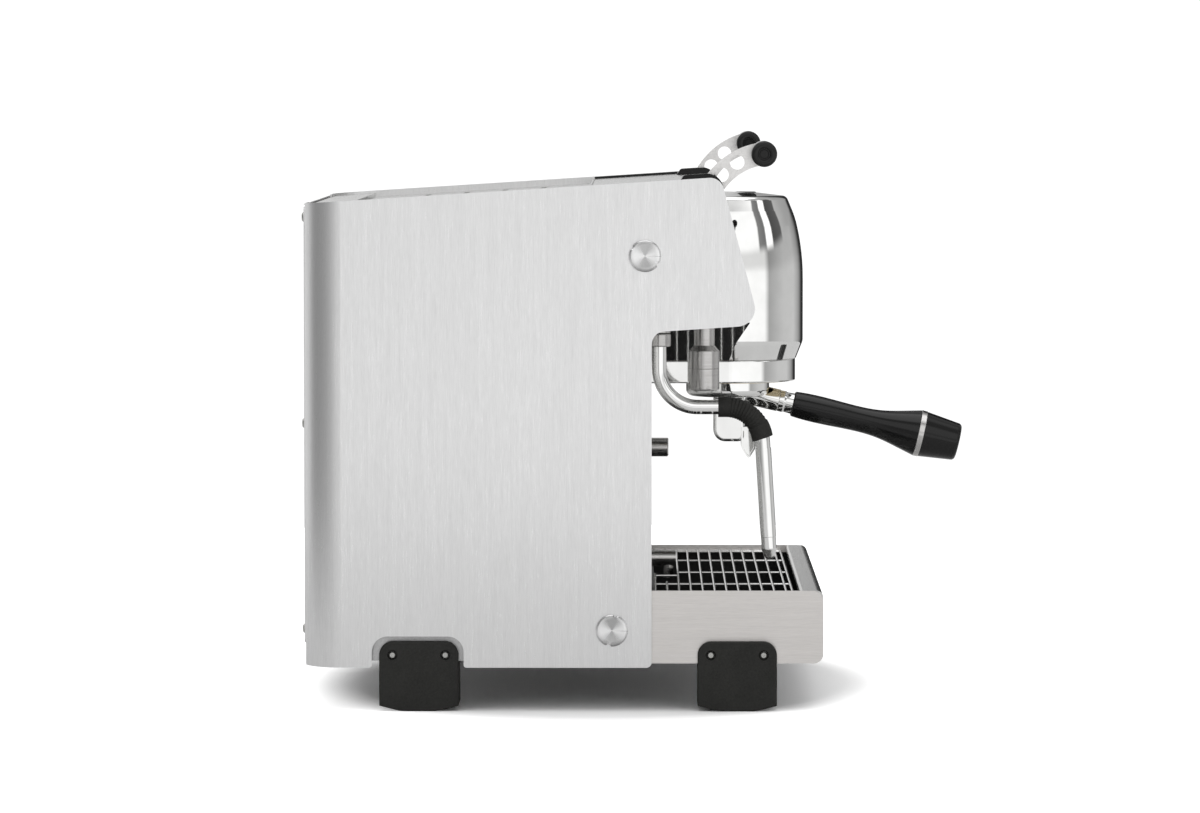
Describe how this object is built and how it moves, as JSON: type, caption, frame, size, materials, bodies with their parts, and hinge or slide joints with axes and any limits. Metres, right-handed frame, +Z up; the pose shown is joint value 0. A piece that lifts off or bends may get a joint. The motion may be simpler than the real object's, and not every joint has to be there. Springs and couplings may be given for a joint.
{
  "type": "espresso machine",
  "caption": "Counter-top espresso machine with portafilter, steam wand, hot-water spout, valve levers and a sliding drip tray under a wire grid.",
  "frame": {"origin": "on the counter under the centre of the machine's whole box", "axes": "+Z up, the user stands on the -Y side, +X to the user's right"},
  "size_m": [0.4192, 0.4894, 0.416],
  "materials": {
    "brushed_steel": "fine straight brushing",
    "turned_steel": "satin, turned",
    "lever_steel": "light satin",
    "chassis_steel": "mill finish sheet",
    "wire_steel": "polished wire",
    "screw_steel": "zinc-plated",
    "polished_chrome": "mirror polish",
    "basket_steel": "bright pressed sheet",
    "group_brass": "machined",
    "pan_black": "baked black coat",
    "foot_rubber": "matte moulded",
    "sleeve_rubber": "matte ribbed",
    "black_gloss": "glossy moulded",
    "black_matte": "fine matte",
    "boiler_steel": "satin welded",
    "motor_paint": "satin paint",
    "pump_brass": "cast",
    "pipe_copper": "bright drawn copper"
  },
  "bodies": {
    "machine": {"left_side_panel": "brushed_steel", "right_side_panel": "brushed_steel", "back_panel": "brushed_steel", "backsplash": "brushed_steel", "front_cover": "brushed_steel", "cup_tray": "brushed_steel", "left_tray_side_plate": "brushed_steel", "right_tray_side_plate": "brushed_steel", "panel_thumb_nuts": "turned_steel", "hot_water_spout": "turned_steel", "drain_spout": "turned_steel", "wand_nut": "turned_steel", "base_frame": "chassis_steel", "boiler_cradle": "chassis_steel", "back_screws": "screw_steel", "foot_screws": "screw_steel", "group_cover": "polished_chrome", "group_collar": "polished_chrome", "shower_screen": "basket_steel", "bayonet_ring": "group_brass", "group_head": "group_brass", "steam_valve": "group_brass", "hot_water_valve": "group_brass", "water_unions": "group_brass", "feet": "foot_rubber", "group_gasket": "sleeve_rubber", "power_switch": "black_matte", "brew_switch": "black_matte", "lever_slot_trims": "black_matte", "top_edge_seals": "black_matte", "power_inlet": "black_matte", "control_box": "black_matte", "steam_boiler": "boiler_steel", "brew_boiler": "boiler_steel", "pump_motor": "motor_paint", "pump": "pump_brass", "water_pipes": "pipe_copper", "steam_pipes": "pipe_copper", "hot_water_pipes": "pipe_copper"},
    "portafilter": {"portafilter_head": "polished_chrome", "filter_basket": "basket_steel", "portafilter_spout": "polished_chrome", "portafilter_stem": "polished_chrome", "handle_grip": "black_gloss", "handle_ring": "turned_steel", "handle_cap": "black_gloss"},
    "wand_seat": {"wand_collar": "turned_steel"},
    "wand": {"wand_upper_tube": "polished_chrome", "wand_sleeve": "sleeve_rubber", "wand_lower_tube": "polished_chrome", "wand_tip": "polished_chrome"},
    "left_lever": {"left_lever_arm": "lever_steel", "left_lever_knob": "black_gloss"},
    "right_lever": {"right_lever_arm": "lever_steel", "right_lever_knob": "black_gloss"},
    "brew_button": {"brew_button": "black_matte"},
    "power_knob": {"power_knob": "turned_steel"},
    "tray": {"drip_tray_pan": "pan_black", "tray_front_cover": "brushed_steel"},
    "grid": {"tray_grid": "wire_steel"}
  },
  "joints": [
    {"name": "portafilter_turn", "type": "hinge", "parent": "machine", "child": "portafilter", "pos_m": [0, -0.0662, 0.24], "axis": [0, 0, 1], "range_deg": [-50, 0]},
    {"name": "wand_swivel", "type": "hinge", "parent": "machine", "child": "wand_seat", "pos_m": [-0.15, -0.0139, 0.267], "axis": [0, 0, 1], "range_deg": [-75, 30]},
    {"name": "wand_tilt", "type": "hinge", "parent": "wand_seat", "child": "wand", "pos_m": [-0.15, -0.0139, 0.267], "axis": [-1, 0, 0], "range_deg": [0, 20]},
    {"name": "left_lever_pull", "type": "hinge", "parent": "machine", "child": "left_lever", "pos_m": [-0.16, -0.038, 0.352], "axis": [-1, 0, 0], "range_deg": [0, 18]},
    {"name": "right_lever_pull", "type": "hinge", "parent": "machine", "child": "right_lever", "pos_m": [0.16, -0.038, 0.352], "axis": [-1, 0, 0], "range_deg": [-5.6, 12.4]},
    {"name": "brew_button_press", "type": "slide", "parent": "machine", "child": "brew_button", "axis": [0, 0, -1], "range_m": [0, 0.002], "stiffness_N_per_m": 500},
    {"name": "power_knob_turn", "type": "hinge", "parent": "machine", "child": "power_knob", "pos_m": [0.07, -0.01, 0.1734], "axis": [0, 1, 0], "range_deg": [0, 90]},
    {"name": "tray_slide", "type": "slide", "parent": "machine", "child": "tray", "axis": [0, -1, 0], "range_m": [0, 0.15]},
    {"name": "grid_lift", "type": "slide", "parent": "tray", "child": "grid", "axis": [0, 0, 1], "range_m": [0, 0.015]}
  ]
}
